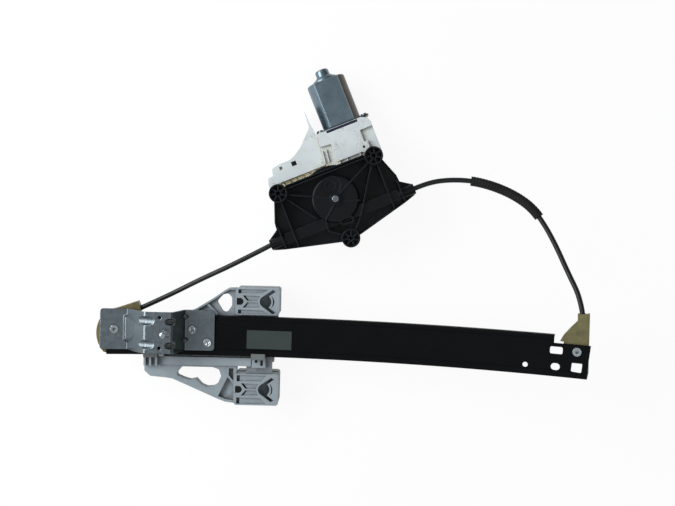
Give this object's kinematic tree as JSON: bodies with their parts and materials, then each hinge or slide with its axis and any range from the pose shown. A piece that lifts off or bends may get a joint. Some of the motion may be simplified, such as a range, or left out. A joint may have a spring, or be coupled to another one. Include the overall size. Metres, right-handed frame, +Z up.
{
  "type": "window regulator",
  "caption": "Cable-driven car door window regulator: bent guide rail with pulleys at both ends, glass carrier with two clamps, and a geared motor with its rope drum.",
  "frame": {"origin": "under the middle of the regulator, on the surface that it lies on", "axes": "+X along the guide rail from its lower end to its upper end, +Y across it towards the drive unit, +Z up out of the side that faces the door panel"},
  "size_m": [0.4829, 0.3433, 0.1024],
  "materials": {
    "rail_paint": "black electrocoat, satin",
    "zinc_steel": "zinc-plated pressed steel",
    "rivet_steel": "yellow passivated zinc",
    "stud_steel": "bright zinc",
    "natural_nylon": "natural nylon, yellowed",
    "pulley_acetal": "natural acetal",
    "rope_steel": "galvanised wire rope",
    "conduit_black": "black sheathed conduit",
    "foam_sleeve": "black foam sleeve",
    "ferrule_plastic": "black nylon",
    "clip_plastic": "grey acetal",
    "carrier_plastic": "grey glass-filled nylon",
    "nipple_zinc": "die-cast zinc",
    "black_plastic": "black glass-filled plastic",
    "drum_plastic": "black acetal",
    "damper_rubber": "soft black rubber",
    "wheel_acetal": "natural acetal",
    "pale_plastic": "pale grey moulding",
    "board": "green lacquered board",
    "contact_brass": "tinned brass",
    "can_steel": "bluish zinc-plated deep-drawn steel",
    "magnet": "ferrite",
    "core_steel": "lacquered steel sheets",
    "copper": "copper",
    "carbon": "carbon",
    "bush_bronze": "sintered bronze",
    "label": "blank paper label"
  },
  "bodies": {
    "frame": {"guide_rail": "rail_paint", "lower_bracket": "zinc_steel", "bracket_rivets": "rivet_steel", "bracket_stud": "stud_steel", "lower_pulley_housing": "natural_nylon", "upper_pulley_housing": "natural_nylon", "lower_pulley_axle": "rivet_steel", "upper_pulley_axle": "rivet_steel", "rail_rope": "rope_steel", "lower_conduit": "conduit_black", "upper_conduit": "conduit_black", "conduit_sleeve": "foam_sleeve", "conduit_ferrules": "ferrule_plastic", "drum_housing": "black_plastic", "drum_pin": "stud_steel", "drum_ropes": "rope_steel", "gear_housing": "pale_plastic", "gear_cover": "zinc_steel", "electronics_housing": "pale_plastic", "circuit_board": "board", "connector_pins": "contact_brass", "motor_can": "can_steel", "motor_screws": "stud_steel", "motor_gasket": "damper_rubber", "motor_magnets": "magnet", "brush_holder": "black_plastic", "carbon_brushes": "carbon", "shaft_bushes": "bush_bronze", "rear_bush": "bush_bronze", "rail_label": "label"},
    "armature": {"armature_shaft": "stud_steel", "armature_core": "core_steel", "armature_windings": "copper", "commutator": "copper"},
    "drum": {"cable_drum": "drum_plastic", "rope_windings": "rope_steel", "drive_hub": "drum_plastic", "wheel_damper": "damper_rubber", "worm_wheel": "wheel_acetal"},
    "lower_pulley": {"lower_pulley": "pulley_acetal"},
    "upper_pulley": {"upper_pulley": "pulley_acetal"},
    "carrier": {"glass_carrier": "carrier_plastic", "guide_clips": "clip_plastic", "guide_shoes": "clip_plastic", "rope_nipples": "nipple_zinc", "upper_clamp_jaw": "carrier_plastic", "lower_clamp_jaw": "carrier_plastic", "clamp_pins": "black_plastic"}
  },
  "joints": [
    {"name": "carrier_travel", "type": "hinge", "parent": "frame", "child": "carrier", "pos_m": [-0.131, -0.24546, 1.23531], "axis": [0, -0.9928, -0.1201], "range_deg": [-1.19, 12.51]},
    {"name": "armature_spin", "type": "hinge", "parent": "frame", "child": "armature", "pos_m": [-0.00647, 0.13469, 0.021], "axis": [-0.3891, 0.9212, 0], "range_deg": [-5683.54, 59557.14]},
    {"name": "drum_spin", "type": "hinge", "parent": "frame", "child": "drum", "pos_m": [-0.0036, 0.0382, 0.048], "axis": [0, 0, 1], "range_deg": [-815.87, 77.88]},
    {"name": "lower_pulley_spin", "type": "hinge", "parent": "frame", "child": "lower_pulley", "pos_m": [-0.22146, -0.09621, 0.03937], "axis": [0.0743, 0.0003, 0.9972], "range_deg": [-172.62, 1808.65]},
    {"name": "upper_pulley_spin", "type": "hinge", "parent": "frame", "child": "upper_pulley", "pos_m": [0.23069, -0.10245, 0.09099], "axis": [-0.2971, 0.0055, 0.9548], "range_deg": [-172.62, 1808.65]}
  ],
  "couplings": [
    {"joint": "armature_spin", "follows": "carrier_travel", "ratio": 4760.9},
    {"joint": "drum_spin", "follows": "carrier_travel", "ratio": -65.217},
    {"joint": "lower_pulley_spin", "follows": "carrier_travel", "ratio": 144.58},
    {"joint": "upper_pulley_spin", "follows": "carrier_travel", "ratio": 144.58}
  ]
}
